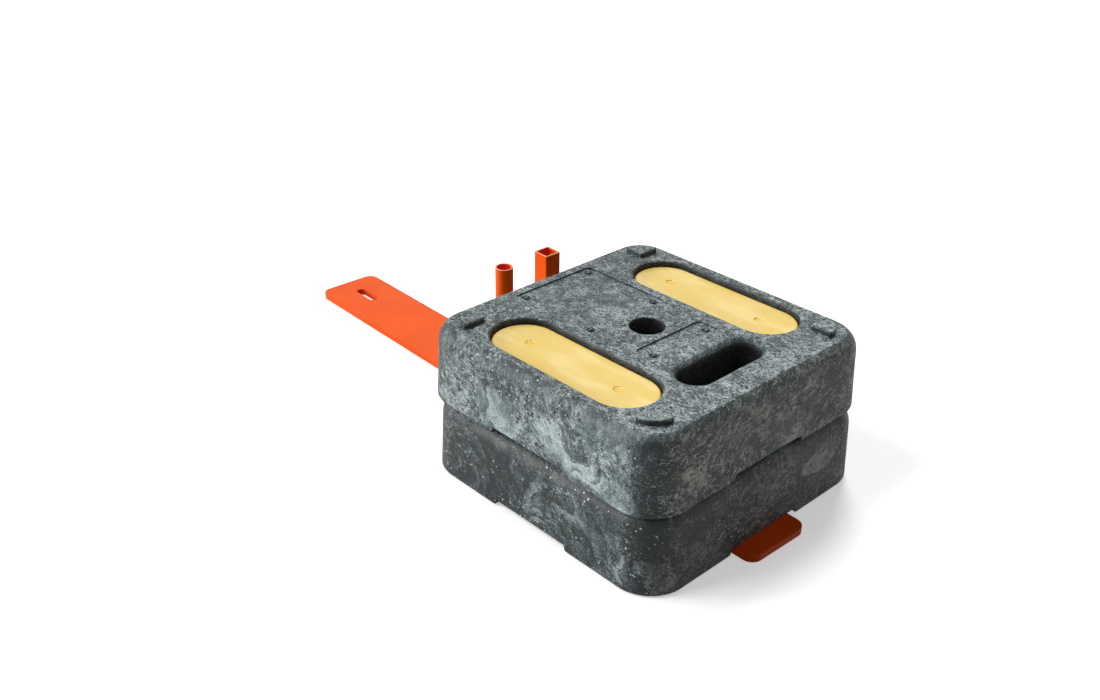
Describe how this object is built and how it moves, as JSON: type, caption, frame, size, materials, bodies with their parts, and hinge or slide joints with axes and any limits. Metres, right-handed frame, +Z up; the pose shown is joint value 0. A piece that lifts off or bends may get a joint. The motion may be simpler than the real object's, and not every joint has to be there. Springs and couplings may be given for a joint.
{
  "type": "fence ballast weight",
  "caption": "Square recycled-plastic ballast weights with carry holes and glossy pads, stacked on a flat steel foot with a round and a square fence spigot.",
  "frame": {"origin": "on the floor under the middle of the lower weight", "axes": "+X along the foot bar toward the hand holes and the bar's short end, +Y toward the square spigot's side, +Z up"},
  "size_m": [0.9255, 0.4024, 0.214],
  "materials": {
    "weight_plastic": "matt moulded recycled plastic, dark grey, marbled and pitted",
    "insert_plastic": "glossy moulded plastic, warm yellow",
    "foot_paint": "semi-gloss powder coat, orange-red"
  },
  "bodies": {
    "root": {"foot_bar": "foot_paint", "round_spigot": "foot_paint", "square_spigot": "foot_paint", "lower_weight": "weight_plastic", "upper_weight": "weight_plastic", "lower_insert_front": "insert_plastic", "lower_insert_back": "insert_plastic", "upper_insert_front": "insert_plastic", "upper_insert_back": "insert_plastic"}
  },
  "joints": []
}
